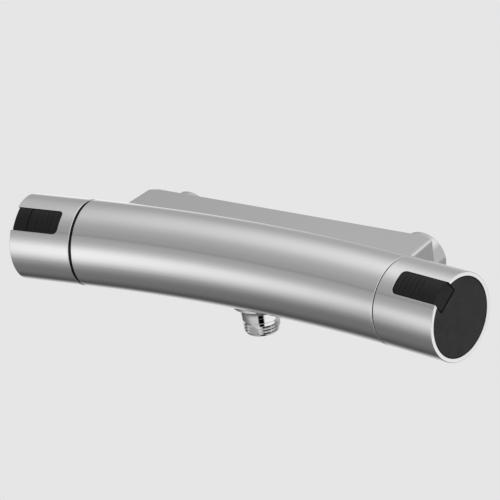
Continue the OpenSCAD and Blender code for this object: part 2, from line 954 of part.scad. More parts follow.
bar_shell();
waterway();
rear_cover();
cover_screws();
outlet_nipple();
outlet_seal();
nipple(-1);  // hot_nipple
union_nut(-1);  // hot_union_nut
washer(-1);  // hot_washer
filter(-1);  // hot_filter
check_housing(-1);  // hot_check_housing
poppet(-1);  // hot_poppet
check_spring(-1);  // hot_check_spring
nipple(1);  // cold_nipple
union_nut(1);  // cold_union_nut
washer(1);  // cold_washer
filter(1);  // cold_filter
check_housing(1);  // cold_check_housing
poppet(1);  // cold_poppet
check_spring(1);  // cold_check_spring
sleeve(-1, temp_angle, temp_gap);  // temp_sleeve
grip(-1, temp_angle);  // temp_grip
button(-1, temp_angle);  // temp_button
button_spring(-1, temp_angle);  // temp_button_spring
end_cap(-1, temp_angle);  // temp_end_cap
hub(-1, temp_angle);  // temp_hub
handle_screw(-1);  // temp_screw
temp_spindle();
stop_ring(-1);  // temp_stop_ring
thermostat_nut();
thermostat_housing();
thermostat_seals();
regulating_nut();
overload_spring();
overload_cup();
wax_element();
shuttle();
return_spring();
spring_seat();
sleeve(1, flow_angle, flow_gap);  // flow_sleeve
grip(1, flow_angle);  // flow_grip
button(1, flow_angle);  // flow_button
button_spring(1, flow_angle);  // flow_button_spring
end_cap(1, flow_angle);  // flow_end_cap
hub(1, flow_angle);  // flow_hub
handle_screw(1);  // flow_screw
flow_spindle();
stop_ring(1);  // flow_stop_ring
headwork_housing();
headwork_seals();
ceramic_disc(disc_top);  // moving_disc
ceramic_disc(disc_top + disc_h + running);  // fixed_disc
disc_seal();
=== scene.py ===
"""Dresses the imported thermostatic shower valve: its chrome, grips, buttons, threads and studio."""

import json
import math

import bmesh
import bpy
from mathutils import Matrix, Vector


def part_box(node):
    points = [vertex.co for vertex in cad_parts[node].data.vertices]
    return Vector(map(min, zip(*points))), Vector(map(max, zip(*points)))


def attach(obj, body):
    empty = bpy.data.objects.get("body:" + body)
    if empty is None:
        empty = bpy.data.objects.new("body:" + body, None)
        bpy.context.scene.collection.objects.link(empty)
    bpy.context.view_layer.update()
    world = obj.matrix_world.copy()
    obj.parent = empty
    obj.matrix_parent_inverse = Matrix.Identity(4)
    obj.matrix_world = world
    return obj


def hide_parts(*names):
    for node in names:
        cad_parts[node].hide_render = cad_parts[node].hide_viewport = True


bl_info = {
    "name": "Thermostatic Shower Valve",
    "version": (1, 0, 0),
    "blender": (4, 5, 0),
    "location": "View3D > Sidebar > Shower Valve",
    "description": "Dresses a packed thermostatic shower valve and sets up its studio",
    "category": "Object",
}

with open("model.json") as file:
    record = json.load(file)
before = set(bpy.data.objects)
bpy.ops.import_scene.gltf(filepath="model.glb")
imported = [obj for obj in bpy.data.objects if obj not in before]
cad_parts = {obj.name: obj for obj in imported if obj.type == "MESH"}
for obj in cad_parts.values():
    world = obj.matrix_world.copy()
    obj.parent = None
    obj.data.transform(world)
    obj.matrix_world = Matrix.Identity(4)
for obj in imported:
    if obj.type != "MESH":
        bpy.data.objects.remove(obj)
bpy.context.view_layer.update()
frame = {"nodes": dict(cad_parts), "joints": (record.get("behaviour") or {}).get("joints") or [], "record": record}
MM = 0.001
JOINTS = {joint["name"]: joint for joint in frame["joints"]}

# Each handle's joints: the one that turns it and the one that its push button moves on
HANDLES = {"temp": ("temp_turn", "temp_press"), "flow": ("flow_turn", "flow_press")}

# Places that the frame gives: the bar's axis is an arc, and the flow handle's joint gives its end and slope
BAR_END = Vector(JOINTS["flow_turn"]["pos_m"])
BAR_END_AXIS = Vector(JOINTS["flow_turn"]["axis"]).normalized()
BOW_HALF_ANGLE = math.atan2(-BAR_END_AXIS.y, BAR_END_AXIS.x)
BOW_RADIUS = BAR_END.x / math.sin(BOW_HALF_ANGLE)
BOW_CENTRE = Vector((0, BAR_END.y - BOW_RADIUS * math.cos(BOW_HALF_ANGLE), BAR_END.z))
BAR_MIDDLE = BOW_CENTRE + Vector((0, BOW_RADIUS, 0))
BAR_HALF_LENGTH = BOW_RADIUS * BOW_HALF_ANGLE
BAR_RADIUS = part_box("bar_shell")[1][2] - BAR_END.z

# Facets round an axis, and the length of a facet along the bow
BAR_SEGMENTS = 192
HANDLE_SEGMENTS = 256
NUT_SEGMENTS = 180
OUTLET_SEGMENTS = 128
CAP_SEGMENTS = 160
CUT_SEGMENTS = 96
PIPE_SEGMENTS = 64
BOW_STEP = 2.4 * MM
CUT_STEP = 4 * MM
FLARE_STEPS = 10
RIB_STEPS = 24
RIB_SIDES = 12
THREAD_STEPS = 96
THREAD_SIDES = 4

# Small forms that a user would hardly change: roundings, then gaps and overlaps, ribs and thread
FINE_ROUND = 0.2 * MM
SMALL_ROUND = 0.3 * MM
SLEEVE_END_ROUND = 0.4 * MM
OUTLET_END_ROUND = 0.5 * MM
GROOVE_ROUND = 0.15 * MM
BEVEL_ROUND = 0.1 * MM
GRIP_ROUND = 0.35 * MM
BUTTON_ROUND = 0.45 * MM
CAP_CLEARANCE = 0.3 * MM
GRIP_LIFT = 0.05 * MM
FOOT_OVERLAP = 0.01 * MM
RIB_MARGIN = 1.4 * MM
RIB_TIP = 0.02
RIB_FULLNESS = 8
THREAD_SUNK = 0.03 * MM
THREAD_LEAD = 0.5 * MM
THREAD_RELIEF = 0.3 * MM

# Tools that cut: how far they reach past a surface, and the room for the outlet and the inlet pipes
PAST = 2 * MM
OUTLET_ROOM = 0.04
PIPE_ROOM = 0.05
PIPE_ROOM_RADIUS = 9.7 * MM

# Tolerances of mesh work, and how much a large face counts in the even shading
MERGE = 1e-7
ON_AXIS = 1e-9
LEVEL = 1e-6
NORMAL_WEIGHT = 80


def size_prop(name, description, default_mm):
    """A length that a user may change, in metres."""
    return bpy.props.FloatProperty(
        name=name, description=description, default=default_mm * MM, precision=5, unit="LENGTH")


def colour_prop(name, description, default):
    """A colour that a user may change."""
    return bpy.props.FloatVectorProperty(
        name=name, description=description, default=default, size=3, min=0, max=1, subtype="COLOR")


class ValveSizes(bpy.types.PropertyGroup):
    """Sizes of the valve's visible forms."""

    shell_wall: size_prop("Shell wall", "Wall of the bar's outer shell", 2.5)
    end_round: size_prop("End rounding", "Rounding of the bar's two ends", 0.5)
    foot_radius: size_prop("Foot radius", "Radius of the outlet's foot at its lower end", 11.3)
    foot_height: size_prop("Foot height", "Height of the outlet's foot below the bar", 5)
    foot_neck: size_prop("Foot neck", "Height of the foot's straight part below its flare", 1.5)
    foot_flare: size_prop("Foot flare", "Radius of the foot's hollow flare", 4)
    sleeve_wall: size_prop("Sleeve wall", "Wall of the handle sleeves", 2.4)
    handle_length: size_prop("Handle length", "From the bar's end to the handle's end face", 40.9)
    temp_gap: size_prop("Temperature gap", "Gap between the bar and the temperature handle", 1.6)
    flow_gap: size_prop("Flow gap", "Gap between the bar and the flow handle", 0.5)
    slot_width: size_prop("Slot width", "Width of the slot that holds the grip", 14.7)
    slot_start: size_prop("Slot start", "From the bar's end to the slot's closed end", 10.2)
    slot_corner: size_prop("Slot corner", "Radius of the slot's closed corners", 3)
    slot_edge: size_prop("Slot edge", "Rounding of the slot's outer edge", 0.3)
    grip_sunk: size_prop("Grip depth", "Depth of the grip below the sleeve's surface", 0.4)
    rib_height: size_prop("Rib height", "Height of each grip rib", 0.5)
    rib_radius: size_prop("Rib radius", "Radius of each grip rib", 0.85)
    rib_pitch: size_prop("Rib pitch", "Distance from one rib to the next", 3.2)
    rib_first: size_prop("First rib", "From the bar's end to the first rib", 13.6)
    button_length: size_prop("Button length", "Length of the push button along the handle", 10)
    button_depth: size_prop("Button depth", "Depth of the push button at the end face", 8.5)
    button_bevel: size_prop("Button bevel", "Length of the push button's sloping face", 1.6)
    button_travel: size_prop("Button travel", "Travel of the push button", 0.8)
    cap_height: size_prop("Cap height", "Thickness of the end cap's disc", 2.4)
    cap_gap: size_prop("Cap gap", "Gap between the end cap and the sleeve", 0.35)
    cap_sunk: size_prop("Cap depth", "Depth of the end cap below the sleeve's end", 0.2)
    cap_round: size_prop("Cap rounding", "Rounding of the end cap's edges", 0.3)
    nut_round: size_prop("Nut rounding", "Rounding of the union nuts' outer edges", 1)
    nut_mouth: size_prop("Nut mouth", "Rounding of the union nuts' open mouths", 0.5)
    nut_thread: size_prop("Nut thread", "Length of the union nuts' thread", 5)
    nut_relief: size_prop("Nut relief", "Depth of the groove behind the union nuts' thread", 0.5)
    nut_shoulder: size_prop("Nut shoulder", "From the wall to the union nuts' inner shoulder", 12.2)
    nut_neck: size_prop("Nut neck", "Radius of the union nuts' hole for the nipple", 9.5)
    collar_radius: size_prop("Collar radius", "Radius of the outlet's collar", 11.1)
    collar_height: size_prop("Collar height", "Height of the outlet's collar", 3.6)
    collar_bevel: size_prop("Collar bevel", "Bevel of the outlet's collar at its lower edge", 0.5)
    collar_groove: size_prop("Collar groove", "Height of the groove below the outlet's collar", 0.5)
    groove_depth: size_prop("Groove depth", "Depth of that groove below the thread's root", 0.5)
    outlet_bore: size_prop("Outlet bore", "Radius of the outlet's bore", 6)
    outlet_shank: size_prop("Outlet shank", "Radius of the outlet's shank inside the bar", 9)
    thread_pitch: size_prop("Thread pitch", "Pitch of the hose thread", 1.814)
    thread_ridge: size_prop("Thread ridge", "Height of the hose thread's ridge", 0.9)
    cover_wall: size_prop("Cover wall", "Wall of the rear cover", 2)
    cover_chamfer: size_prop("Cover chamfer", "Chamfer of the rear cover's corners along its back", 5)
    cover_chamfer_depth: size_prop("Cover chamfer depth", "The same chamfer along the two ends", 2.2)
    cover_corner: size_prop("Cover corner", "Rounding at both sides of that chamfer", 1)
    cover_taper: size_prop("Cover taper", "How far each end leans in over half the cover's depth", 0.8)
    cover_edge: size_prop("Cover edge", "Rounding of the edges at the rear cover's two ends", 2.4)
    cover_back_edge: size_prop("Cover back edge", "Rounding of the edges along the rear cover's back", 0.3)
    fit: size_prop("Fit", "Gap between pieces that sit in each other", 0.15)
    rib_count: bpy.props.IntProperty(name="Ribs", description="Ribs on each grip", default=5, min=1)


class ValveColours(bpy.types.PropertyGroup):
    """Colours of the valve's finishes."""

    chrome: colour_prop("Chrome", "Satin and polished chrome plate", (0.76, 0.76, 0.765))
    brass: colour_prop("Brass", "Machined brass", (0.62, 0.46, 0.22))
    copper: colour_prop("Copper", "Copper of the wax capsule", (0.66, 0.36, 0.22))
    steel: colour_prop("Steel", "Stainless steel of springs and screws", (0.56, 0.56, 0.57))
    grip: colour_prop("Grip", "Moulded black of grips and buttons", (0.0095, 0.0095, 0.0099))
    cap: colour_prop("Cap", "Moulded dark grey of the end caps", (0.012, 0.012, 0.0123))
    nylon: colour_prop("Nylon", "Dark nylon of the hubs", (0.06, 0.06, 0.062))
    acetal: colour_prop("Acetal", "White acetal of the inner pieces", (0.78, 0.78, 0.74))
    ring: colour_prop("Ring", "Black acetal of the stop rings", (0.012, 0.012, 0.012))
    rubber: colour_prop("Rubber", "Black rubber of the seals", (0.02, 0.02, 0.02))
    ceramic: colour_prop("Ceramic", "White ceramic of the discs", (0.84, 0.84, 0.81))
    ground: colour_prop("Ground", "Pale floor and background", (0.79, 0.79, 0.79))


# Places and sizes of nodes

def box_corners(node):
    """The lowest and highest corner of a node at rest."""
    low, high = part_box(node)
    return Vector(low), Vector(high)


def mount_radius(name):
    """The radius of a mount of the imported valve."""
    mount = next(m for m in frame["record"]["mounts"] if m["name"] == name)
    return mount["dims"]["r_mm"] * MM


def upright(node):
    """A frame with Z up, on a node's middle line."""
    low, high = box_corners(node)
    centre = (low + high) / 2
    return Matrix.Translation((centre.x, centre.y, 0))


def off_wall(node):
    """A frame on a node's middle line, with Z from the wall to the front."""
    low, high = box_corners(node)
    centre = (low + high) / 2
    return Matrix.Translation((centre.x, 0, centre.z)) @ Matrix.Rotation(math.pi / 2, 4, "X")


def handles():
    """Gives each handle's name and frame: Z outwards on its axis, X through the middle of its grip."""
    for name, (turn, press) in HANDLES.items():
        outward = Vector(JOINTS[turn]["axis"]).normalized()
        grip_ray = -Vector(JOINTS[press]["axis"]).normalized()
        matrix = Matrix((grip_ray, outward.cross(grip_ray), outward)).transposed().to_4x4()
        matrix.translation = Vector(JOINTS[turn]["pos_m"])
        yield name, matrix


# Mesh helpers

def link_mesh(name, mesh):
    """Links a mesh as a new object at the origin."""
    piece = bpy.data.objects.new(name, mesh)
    bpy.context.scene.collection.objects.link(piece)
    return piece


def mesh_piece(name, points, faces):
    """Makes an object from points and faces, with its faces turned outwards."""
    mesh = bpy.data.meshes.new(name)
    mesh.from_pydata([tuple(p) for p in points], [], faces)
    shape = bmesh.new()
    shape.from_mesh(mesh)
    bmesh.ops.remove_doubles(shape, verts=shape.verts, dist=MERGE)
    bmesh.ops.recalc_face_normals(shape, faces=shape.faces)
    shape.to_mesh(mesh)
    shape.free()
    return link_mesh(name, mesh)


def rounded(corners, steps=5):
    """The closed outline through corners (x, y, radius), with each corner rounded by its radius."""
    outline = []
    count = len(corners)
    for i, (x, y, radius) in enumerate(corners):
        here = Vector((x, y))
        if radius <= 0:
            outline.append(here)
            continue
        before = (Vector(corners[i - 1][:2]) - here).normalized()
        after = (Vector(corners[(i + 1) % count][:2]) - here).normalized()
        half = before.angle(after) / 2
        centre = here + (before + after).normalized() * (radius / math.sin(half))
        start = here + before * (radius / math.tan(half)) - centre
        end = here + after * (radius / math.tan(half)) - centre
        turn = math.atan2(start.x * end.y - start.y * end.x, start.dot(end))
        for k in range(steps + 1):
            outline.append(centre + Matrix.Rotation(turn * k / steps, 2) @ start)
    return outline


def rectangle(near, low, far, high):
    """The outline of a rectangle, from (near, low) to (far, high)."""
    return [Vector(point) for point in ((near, low), (far, low), (far, high), (near, high))]


def finer(outline, step):
    """Adds points to an outline's long straight runs."""
    points = []
    for i, here in enumerate(outline):
        ahead = outline[(i + 1) % len(outline)]
        parts = max(1, math.ceil((ahead - here).length / step))
        points += [here.lerp(ahead, k / parts) for k in range(parts)]
    return points


def turned(name, outline, place, segments):
    """Turns a closed outline of (radius, station) round an axis; place(r, angle, s) gives each point."""
    points = []
    faces = []
    count = len(outline)
    for i in range(segments):
        angle = 2 * math.pi * i / segments
        points += [place(p.x, angle, p.y) for p in outline]
    for i in range(segments):
        j = (i + 1) % segments
        for k in range(count):
            m = (k + 1) % count
            if outline[k].x < ON_AXIS and outline[m].x < ON_AXIS:
                continue
            face = [i * count + k, j * count + k, j * count + m, i * count + m]
            if outline[k].x < ON_AXIS:
                face.pop(1)
            elif outline[m].x < ON_AXIS:
                face.pop(2)
            faces.append(face)
    return mesh_piece(name, points, faces)


def along(matrix):
    """Places a turned point in a straight local frame with Z as its axis."""
    def place(r, angle, s):
        return matrix @ Vector((r * math.cos(angle), r * math.sin(angle), s))
    return place


def on_bow(r, angle, s):
    """Places a turned point on the bow: s runs along its axis from the middle."""
    swing = s / BOW_RADIUS
    ray = Vector((math.sin(swing), math.cos(swing), 0))
    return BOW_CENTRE + ray * (BOW_RADIUS + r * math.cos(angle)) + Vector((0, 0, r * math.sin(angle)))


def prism(name, outline, low, high, matrix):
    """Extrudes a flat outline from low to high along local Z."""
    count = len(outline)
    points = [matrix @ Vector((p.x, p.y, z)) for z in (low, high) for p in outline]
    faces = [[i, (i + 1) % count, count + (i + 1) % count, count + i] for i in range(count)]
    faces += [list(range(count)), list(range(count, 2 * count))]
    return mesh_piece(name, points, faces)


def bake(piece):
    """Turns a piece's live modifiers into its plain mesh."""
    depsgraph = bpy.context.evaluated_depsgraph_get()
    mesh = bpy.data.meshes.new_from_object(piece.evaluated_get(depsgraph))
    piece.modifiers.clear()
    piece.data = mesh


def combine(piece, tool, operation):
    """Cuts or joins a tool into a piece and removes the tool."""
    change = piece.modifiers.new("Combine", "BOOLEAN")
    change.operation = operation
    change.solver = "EXACT"
    change.object = tool
    bake(piece)
    bpy.data.objects.remove(tool)


def soften(piece, width, segments=3, angle=35, limit="ANGLE"):
    """Rounds a piece's sharp edges, or those that carry a weight."""
    change = piece.modifiers.new("Soften", "BEVEL")
    change.width = width
    change.segments = segments
    change.limit_method = limit
    change.angle_limit = math.radians(angle)
    change.use_clamp_overlap = False
    change.miter_outer = "MITER_ARC"
    bake(piece)


def smooth(piece, angle):
    """Shades a piece smoothly, with its true edges kept sharp."""
    piece.data.shade_smooth()
    piece.data.set_sharp_from_angle(angle=math.radians(angle))
    change = piece.modifiers.new("Even Shading", "WEIGHTED_NORMAL")
    change.keep_sharp = True
    change.weight = NORMAL_WEIGHT
    bake(piece)


def dress(piece, body, slot, *nodes):
    """Finishes a piece: its material, the body it rides on, and the nodes it stands for."""
    piece.data.materials.clear()
    piece.data.materials.append(finish(slot))
    for face in piece.data.polygons:
        face.material_index = 0
    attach(piece, body)
    if nodes:
        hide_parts(*nodes)


# Materials

# The range that noise mostly keeps to, and how much finer the patches of wear are than those of colour
NOISE_LOW = 0.3
NOISE_HIGH = 0.7
WEAR_SCALE = 3.1


class Nodes:
    """Adds and links nodes in a shader tree."""

    def __init__(self, tree):
        self.tree = tree

    def add(self, kind, **values):
        """Adds a node and sets its properties."""
        node = self.tree.nodes.new(kind)
        for key, value in values.items():
            setattr(node, key, value)
        return node

    def join(self, source, target):
        """Links an output to an input."""
        self.tree.links.new(source, target)

    def math(self, operation, first, second=None):
        """Adds a math node fed by sockets or numbers, and gives its output."""
        node = self.add("ShaderNodeMath", operation=operation)
        for socket, value in zip(node.inputs, (first, second)):
            if value is None:
                continue
            if isinstance(value, (int, float)):
                socket.default_value = value
            else:
                self.join(value, socket)
        return node.outputs[0]

    def noise(self, vector, scale, detail=3.0):
        """Adds a noise texture and gives its value."""
        node = self.add("ShaderNodeTexNoise")
        node.inputs["Scale"].default_value = scale
        node.inputs["Detail"].default_value = detail
        self.join(vector, node.inputs["Vector"])
        return node.outputs["Fac"]

    def spread(self, value, low, high):
        """Maps a noise value to the range from low to high."""
        node = self.add("ShaderNodeMapRange")
        node.inputs["From Min"].default_value = NOISE_LOW
        node.inputs["From Max"].default_value = NOISE_HIGH
        node.inputs["To Min"].default_value = low
        node.inputs["To Max"].default_value = high
        self.join(value, node.inputs["Value"])
        return node.outputs["Result"]


def surface(name, colour, metallic, roughness, patch_scale, grain_scale, grain_depth, shade=0.06,
            rough_spread=0.15, specular=0.5):
    """A procedural finish: patchy colour and roughness, and a fine grain in the surface."""
    material = bpy.data.materials.new(name)
    material.use_nodes = True
    nodes = Nodes(material.node_tree)
    shader = material.node_tree.nodes["Principled BSDF"]
    shader.inputs["Metallic"].default_value = metallic
    shader.inputs["Specular IOR Level"].default_value = specular
    place = nodes.add("ShaderNodeTexCoord").outputs["Object"]
    patches = nodes.noise(place, patch_scale)
    tint = nodes.add("ShaderNodeMix", data_type="RGBA")
    tint.inputs["A"].default_value = (*[c * (1 - shade) for c in colour], 1)
    tint.inputs["B"].default_value = (*[min(1, c * (1 + shade)) for c in colour], 1)
    nodes.join(nodes.spread(patches, 0, 1), tint.inputs["Factor"])
    nodes.join(tint.outputs["Result"], shader.inputs["Base Color"])
    wear = nodes.noise(place, patch_scale * WEAR_SCALE)
    low = roughness * (1 - rough_spread)
    high = roughness * (1 + rough_spread)
    nodes.join(nodes.spread(wear, low, high), shader.inputs["Roughness"])
    grain = nodes.noise(place, grain_scale, detail=2.0)
    bump = nodes.add("ShaderNodeBump")
    bump.inputs["Strength"].default_value = 1.0
    bump.inputs["Distance"].default_value = grain_depth
    nodes.join(grain, bump.inputs["Height"])
    nodes.join(bump.outputs["Normal"], shader.inputs["Normal"])
    return material


def make_finishes():
    """Builds every finish once, by material slot: each line gives surface() its values in order."""
    colours = bpy.context.scene.valve_colours
    finishes = (
        ("satin_chrome", colours.chrome, 1, 0.1, 25, 3000, 0.4e-6, 0.01, 0.12),
        ("polished_chrome", colours.chrome, 1, 0.06, 30, 2500, 0.2e-6, 0.01, 0.2),
        ("brass", colours.brass, 1, 0.3, 60, 1500, 4e-6, 0.08),
        ("wax_copper", colours.copper, 1, 0.28, 60, 1500, 4e-6, 0.1),
        ("spring_steel", colours.steel, 1, 0.25, 200, 3000, 1e-6, 0.05),
        ("screw_steel", colours.steel, 1, 0.3, 150, 3000, 1e-6, 0.06),
        ("grip_black", colours.grip, 0, 0.42, 90, 2600, 5e-6, 0.1, 0.12, 0.25),
        ("cap_grey", colours.cap, 0, 0.5, 60, 2200, 4e-6, 0.06, 0.1, 0.34),
        ("hub_plastic", colours.nylon, 0, 0.5, 80, 1800, 5e-6),
        ("ring_black", colours.ring, 0, 0.45, 80, 1800, 3e-6),
        ("white_acetal", colours.acetal, 0, 0.35, 50, 1200, 3e-6, 0.03),
        ("seal_rubber", colours.rubber, 0, 0.6, 120, 1600, 6e-6),
        ("disc_ceramic", colours.ceramic, 0, 0.18, 60, 1500, 1e-6, 0.02))
    return {slot: surface(slot, colour, *values) for slot, colour, *values in finishes}


FINISHES = {}


def finish(slot):
    """The finish of a material slot, made with all the others at its first use."""
    if not FINISHES:
        FINISHES.update(make_finishes())
    return FINISHES[slot]


# Geometry Nodes

def node_tree(name, inputs):
    """A new tree of Geometry Nodes with named inputs; gives it with its two group nodes."""
    tree = bpy.data.node_groups.new(name, "GeometryNodeTree")
    tree.interface.new_socket("Geometry", in_out="INPUT", socket_type="NodeSocketGeometry")
    tree.interface.new_socket("Geometry", in_out="OUTPUT", socket_type="NodeSocketGeometry")
    for label, kind in inputs:
        tree.interface.new_socket(label, in_out="INPUT", socket_type=kind)
    return tree, tree.nodes.new("NodeGroupInput"), tree.nodes.new("NodeGroupOutput")


def end_tree(tree, source, material, result):
    """Ends a tree in Realize Instances and Set Material."""
    whole = tree.nodes.new("GeometryNodeRealizeInstances")
    painted = tree.nodes.new("GeometryNodeSetMaterial")
    tree.links.new(source, whole.inputs["Geometry"])
    tree.links.new(whole.outputs["Geometry"], painted.inputs["Geometry"])
    tree.links.new(material, painted.inputs["Material"])
    tree.links.new(painted.outputs["Geometry"], result.inputs["Geometry"])


def run_tree(piece, tree, values):
    """Runs a tree on a piece with the given inputs and keeps its result as a plain mesh."""
    change = piece.modifiers.new(tree.name, "NODES")
    change.node_group = tree
    for item in tree.interface.items_tree:
        if item.in_out == "INPUT" and item.name in values:
            change[item.identifier] = values[item.name]
    bake(piece)


def rib_tree():
    """Repeats a rib along the handle's axis."""
    tree, entry, result = node_tree("Grip Ribs", [
        ("Count", "NodeSocketInt"), ("Step", "NodeSocketVector"), ("Finish", "NodeSocketMaterial")])
    line = tree.nodes.new("GeometryNodeMeshLine")
    spots = tree.nodes.new("GeometryNodeInstanceOnPoints")
    tree.links.new(entry.outputs["Count"], line.inputs["Count"])
    tree.links.new(entry.outputs["Step"], line.inputs["Offset"])
    tree.links.new(line.outputs["Mesh"], spots.inputs["Points"])
    tree.links.new(entry.outputs["Geometry"], spots.inputs["Instance"])
    end_tree(tree, spots.outputs["Instances"], entry.outputs["Finish"], result)
    return tree


def thread_tree():
    """Winds a pointed ridge as a screw thread. The ridge has four sides, and one corner points outwards."""
    tree, entry, result = node_tree("Screw Thread", [
        ("Turns", "NodeSocketFloat"), ("Radius", "NodeSocketFloat"), ("Length", "NodeSocketFloat"),
        ("Ridge", "NodeSocketFloat"), ("Finish", "NodeSocketMaterial")])
    coil = tree.nodes.new("GeometryNodeCurveSpiral")
    coil.inputs["Resolution"].default_value = THREAD_STEPS
    level = tree.nodes.new("GeometryNodeSetCurveNormal")
    level.mode = "Z_UP"
    ring = tree.nodes.new("GeometryNodeCurvePrimitiveCircle")
    ring.inputs["Resolution"].default_value = THREAD_SIDES
    tube = tree.nodes.new("GeometryNodeCurveToMesh")
    tube.inputs["Fill Caps"].default_value = True
    tree.links.new(entry.outputs["Turns"], coil.inputs["Rotations"])
    tree.links.new(entry.outputs["Radius"], coil.inputs["Start Radius"])
    tree.links.new(entry.outputs["Radius"], coil.inputs["End Radius"])
    tree.links.new(entry.outputs["Length"], coil.inputs["Height"])
    tree.links.new(entry.outputs["Ridge"], ring.inputs["Radius"])
    tree.links.new(coil.outputs["Curve"], level.inputs["Curve"])
    tree.links.new(level.outputs["Curve"], tube.inputs["Curve"])
    tree.links.new(ring.outputs["Curve"], tube.inputs["Profile Curve"])
    end_tree(tree, tube.outputs["Mesh"], entry.outputs["Finish"], result)
    return tree


# Operators

def slot_tool(sizes, shrink, matrix):
    """The handle's slot as a tool that runs outwards, open past the handle's end."""
    half = sizes.slot_width / 2 - shrink
    start = sizes.slot_start + shrink
    corner = sizes.slot_corner - shrink
    end = sizes.handle_length + PAST
    outline = rounded([
        (-half, start, corner), (half, start, corner), (half, end, 0), (-half, end, 0)], steps=10)
    # The outline's x runs across the handle, and its y along it
    turn = Matrix(((0, 0, 1, 0), (1, 0, 0, 0), (0, 1, 0, 0), (0, 0, 0, 1)))
    return prism("slot", outline, BAR_RADIUS / 2, BAR_RADIUS + PAST, matrix @ turn)


class VALVE_OT_bar(bpy.types.Operator):
    """Makes the bow-shaped bar's shell with the flared foot of its outlet"""

    bl_idname = "valve.bar"
    bl_label = "Bar"

    def execute(self, context):
        sizes = context.scene.valve_sizes
        radius = BAR_RADIUS
        inner = radius - sizes.shell_wall
        half = BAR_HALF_LENGTH
        edge = sizes.end_round
        outline = rounded([
            (radius, -half, edge), (radius, half, edge),
            (inner, half, edge / 2), (inner, -half, edge / 2)], steps=4)
        shell = turned("bar_skin", finer(outline, BOW_STEP), on_bow, BAR_SEGMENTS)
        foot_bottom = BAR_END.z - radius - sizes.foot_height
        base = sizes.foot_radius
        flare = sizes.foot_flare
        neck_top = foot_bottom + sizes.foot_neck
        curve = [Vector((base + flare * (1 - math.cos(turn)), neck_top + flare * math.sin(turn)))
                 for turn in [math.pi / 2 * k / FLARE_STEPS for k in range(FLARE_STEPS + 1)]]
        bore = sizes.outlet_shank + sizes.fit
        top = BAR_END.z - radius / 2
        outline = [Vector((bore, foot_bottom)), Vector((base, foot_bottom))] + curve
        outline += [Vector((base + flare, top)), Vector((bore, top))]
        foot = turned("foot", outline, along(upright("outlet_nipple")), CUT_SEGMENTS)
        room = rectangle(0, -half - MM, inner + FOOT_OVERLAP, half + MM)
        inside = turned("inside", finer(room, CUT_STEP), on_bow, CUT_SEGMENTS)
        combine(foot, inside, "DIFFERENCE")
        combine(shell, foot, "UNION")
        smooth(shell, angle=30)
        dress(shell, "body", "satin_chrome", "bar_shell")
        return {"FINISHED"}


class VALVE_OT_cover(bpy.types.Operator):
    """Makes the rear cover behind the bar"""

    bl_idname = "valve.cover"
    bl_label = "Rear Cover"

    def block(self, sizes, inset):
        """The cover's box, drawn in on all sides but its front."""
        low, high = box_corners("rear_cover")
        low += Vector((inset, 0, inset))
        high -= Vector((inset, inset, inset))
        chamfer = sizes.cover_chamfer
        depth = sizes.cover_chamfer_depth
        corner = sizes.cover_corner
        taper = sizes.cover_taper
        front = BAR_MIDDLE.y
        outline = rounded([
            (low.x - taper, front, 0), (high.x + taper, front, 0),
            (high.x - taper, high.y - depth, corner), (high.x - taper - chamfer, high.y, corner),
            (low.x + taper + chamfer, high.y, corner), (low.x + taper, high.y - depth, corner)], steps=4)
        box = prism("cover_skin", outline, low.z, high.z, Matrix.Identity(4))
        if inset == 0:
            self.weigh(box, sizes)
            soften(box, sizes.cover_edge, segments=6, limit="WEIGHT")
        return box

    def weigh(self, box, sizes):
        """Gives the level edges their rounding: wide at the cover's two ends, fine along its back."""
        shape = bmesh.new()
        shape.from_mesh(box.data)
        weights = shape.edges.layers.float.new("bevel_weight_edge")
        for edge in shape.edges:
            run = edge.verts[1].co - edge.verts[0].co
            if abs(run.z) < LEVEL:
                share = abs(run.y) / run.length
                width = sizes.cover_back_edge + (sizes.cover_edge - sizes.cover_back_edge) * share
                edge[weights] = width / sizes.cover_edge
        shape.to_mesh(box.data)
        shape.free()

    def execute(self, context):
        sizes = context.scene.valve_sizes
        cover = self.block(sizes, 0)
        combine(cover, self.block(sizes, sizes.cover_wall), "DIFFERENCE")
        radius = BAR_RADIUS + sizes.fit
        half = BAR_HALF_LENGTH
        bar = turned("bar_cut", finer(rectangle(0, -half, radius, half), CUT_STEP), on_bow, BAR_SEGMENTS)
        combine(cover, bar, "DIFFERENCE")
        room = rectangle(0, -OUTLET_ROOM, sizes.foot_radius + sizes.foot_flare, 0)
        tool = turned("foot_room", room, along(upright("outlet_nipple")), CUT_SEGMENTS)
        combine(cover, tool, "DIFFERENCE")
        for node in ("hot_nipple", "cold_nipple"):
            room = rectangle(0, 0, PIPE_ROOM_RADIUS, PIPE_ROOM)
            tool = turned("pipe_room", room, along(off_wall(node)), PIPE_SEGMENTS)
            combine(cover, tool, "DIFFERENCE")
        smooth(cover, angle=32)
        dress(cover, "body", "satin_chrome", "rear_cover")
        return {"FINISHED"}


